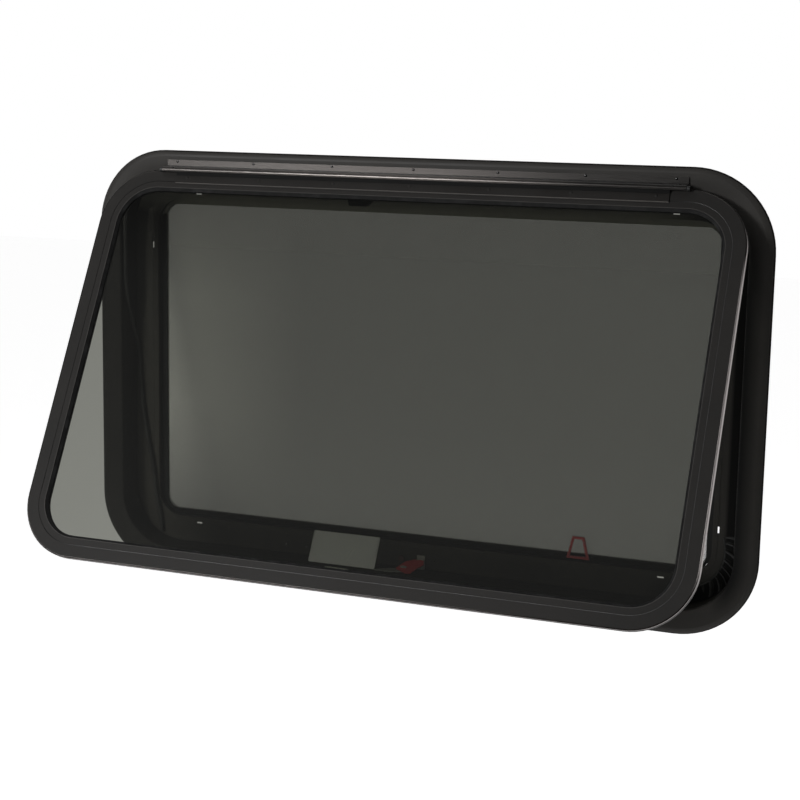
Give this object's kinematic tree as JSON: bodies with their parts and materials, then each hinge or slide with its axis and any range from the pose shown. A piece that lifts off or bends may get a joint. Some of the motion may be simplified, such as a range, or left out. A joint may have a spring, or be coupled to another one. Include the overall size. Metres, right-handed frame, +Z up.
{
  "type": "top hung caravan escape window",
  "caption": "Rounded black aluminium caravan window with a top-hung tinted glass sash standing open on a hook hinge, insect screen and red lever latch.",
  "frame": {"origin": "on the back face of the flange, at the middle of its bottom leg", "axes": "+X along the window, +Y indoors into the wall, +Z up"},
  "size_m": [0.9144, 0.3146, 0.5756],
  "materials": {
    "frame_paint": "black-brown powder coat, satin",
    "sash_paint": "black-brown powder coat, satin, bare metal on the edge",
    "sash_leaf_paint": "black-brown anodised extrusion, satin",
    "hinge_aluminium": "bronze anodised extrusion, satin",
    "screen_paint": "black coil coat, satin",
    "screen_cloth": "grey coated glass fibre mesh",
    "rubber": "black EPDM, matt",
    "black_plastic": "moulded black nylon",
    "red_paint": "red enamel, satin",
    "red_plastic": "dark red moulded plastic",
    "steel": "zinc plated steel",
    "tinted_glass": "grey tinted safety glass, polished",
    "label_film": "blank grey film"
  },
  "bodies": {
    "frame": {"main_frame": "frame_paint", "frame_seal": "rubber", "hinge_frame_leaf": "hinge_aluminium", "hinge_plug_left": "black_plastic", "hinge_plug_right": "black_plastic", "screen_frame": "screen_paint", "insect_screen": "screen_cloth", "screen_spline": "rubber", "screen_pull": "red_paint", "head_bumper": "rubber", "latch_base": "steel", "latch_post": "red_paint", "latch_knob": "red_plastic", "latch_tongue": "steel"},
    "sash": {"sash_frame": "sash_paint", "glazing_gasket": "rubber", "glass_pane": "tinted_glass", "glazing_bead": "black_plastic", "hinge_sash_leaf": "sash_leaf_paint", "exit_label": "label_film", "keeper_bracket": "steel"},
    "lever": {"latch_lever": "red_paint"}
  },
  "joints": [
    {"name": "sash_hinge", "type": "hinge", "parent": "frame", "child": "sash", "pos_m": [0, -0.0169, 0.5358], "axis": [-1, 0, 0], "range_deg": [-28, 50]},
    {"name": "lever_pivot", "type": "hinge", "parent": "frame", "child": "lever", "pos_m": [-0.002, 0.029, 0.02561], "axis": [0, -0.3987, 0.9171], "range_deg": [-30, 0]}
  ]
}
